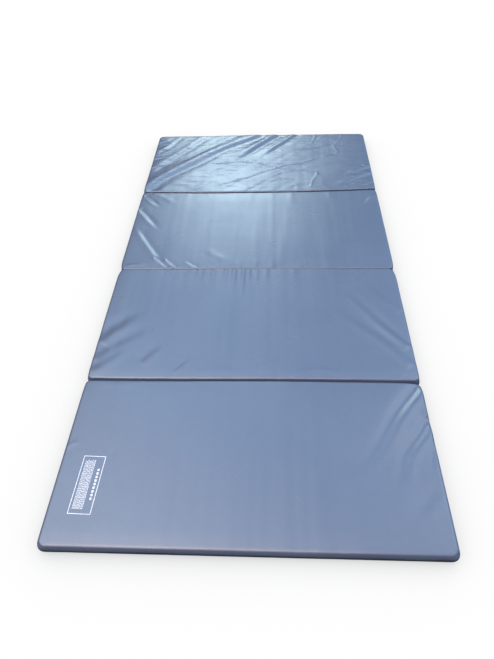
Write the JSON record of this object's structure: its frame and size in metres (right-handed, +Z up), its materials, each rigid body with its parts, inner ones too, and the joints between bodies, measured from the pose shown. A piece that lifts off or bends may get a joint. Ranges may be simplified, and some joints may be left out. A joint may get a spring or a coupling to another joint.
{
  "type": "folding gym mat",
  "caption": "Vinyl-covered foam gym mat that folds like an accordion along seams between its panels, for floor exercise and tumbling.",
  "frame": {"origin": "on the floor, under the middle of the mat laid flat", "axes": "+X across the mat, +Y along its length from panel 1 to panel 4, +Z up from the floor"},
  "size_m": [1.2188, 2.438, 0.0508],
  "materials": {
    "vinyl_top": "semi-gloss coated vinyl",
    "vinyl_side": "semi-gloss coated vinyl",
    "vinyl_underside": "matte coated vinyl",
    "hinge_fabric": "coated woven reinforcement",
    "foam": "closed-cell polyethylene foam"
  },
  "bodies": {
    "panel_1": {"panel_1_foam_core": "foam", "panel_1_top_sheet": "vinyl_top", "panel_1_bottom_sheet": "vinyl_underside", "panel_1_front_boxing": "vinyl_side", "panel_1_back_boxing": "vinyl_side", "panel_1_left_boxing": "vinyl_side", "panel_1_right_boxing": "vinyl_side"},
    "panel_2": {"panel_2_foam_core": "foam", "panel_2_top_sheet": "vinyl_top", "panel_2_bottom_sheet": "vinyl_underside", "panel_2_front_boxing": "vinyl_side", "panel_2_back_boxing": "vinyl_side", "panel_2_left_boxing": "vinyl_side", "panel_2_right_boxing": "vinyl_side", "hinge_strip_1": "hinge_fabric", "hinge_strip_2": "hinge_fabric"},
    "panel_3": {"panel_3_foam_core": "foam", "panel_3_top_sheet": "vinyl_top", "panel_3_bottom_sheet": "vinyl_underside", "panel_3_front_boxing": "vinyl_side", "panel_3_back_boxing": "vinyl_side", "panel_3_left_boxing": "vinyl_side", "panel_3_right_boxing": "vinyl_side", "hinge_strip_3": "hinge_fabric"},
    "panel_4": {"panel_4_foam_core": "foam", "panel_4_top_sheet": "vinyl_top", "panel_4_bottom_sheet": "vinyl_underside", "panel_4_front_boxing": "vinyl_side", "panel_4_back_boxing": "vinyl_side", "panel_4_left_boxing": "vinyl_side", "panel_4_right_boxing": "vinyl_side"}
  },
  "joints": [
    {"name": "hinge_1", "type": "hinge", "parent": "panel_2", "child": "panel_1", "pos_m": [0, -0.6096, -0.00025], "axis": [1, 0, 0], "range_deg": [0, 180], "deforming": ["hinge_strip_1"]},
    {"name": "hinge_2", "type": "hinge", "parent": "panel_2", "child": "panel_3", "pos_m": [0, 0, 0.05105], "axis": [1, 0, 0], "range_deg": [0, 180], "deforming": ["hinge_strip_2"]},
    {"name": "hinge_3", "type": "hinge", "parent": "panel_3", "child": "panel_4", "pos_m": [0, 0.6096, -0.00025], "axis": [-1, 0, 0], "range_deg": [0, 180], "deforming": ["hinge_strip_3"]}
  ]
}
